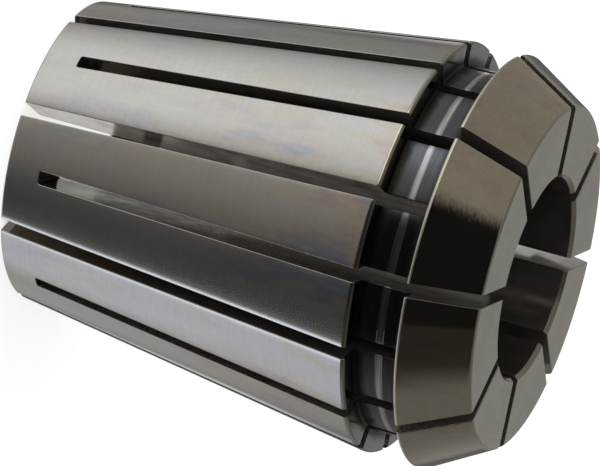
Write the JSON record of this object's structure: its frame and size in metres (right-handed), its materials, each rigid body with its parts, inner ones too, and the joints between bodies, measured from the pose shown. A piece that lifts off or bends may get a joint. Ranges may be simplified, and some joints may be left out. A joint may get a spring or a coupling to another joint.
{
  "type": "er collet",
  "caption": "Slotted spring steel collet with a long clamping taper, extraction groove and short nose cone, bored for a 16 mm tool shank.",
  "frame": {"origin": "middle of the flat back end, the small end of the long taper, on which the collet stands", "axes": "+Z along the bore axis, towards the nose that the tool shank goes into; +X through the middle of a slot that is open at the nose"},
  "size_m": [0.033, 0.033, 0.04],
  "materials": {
    "ground_steel": "satin ground spring steel, lightly stained"
  },
  "bodies": {
    "root": {"collet": "ground_steel"}
  },
  "joints": []
}
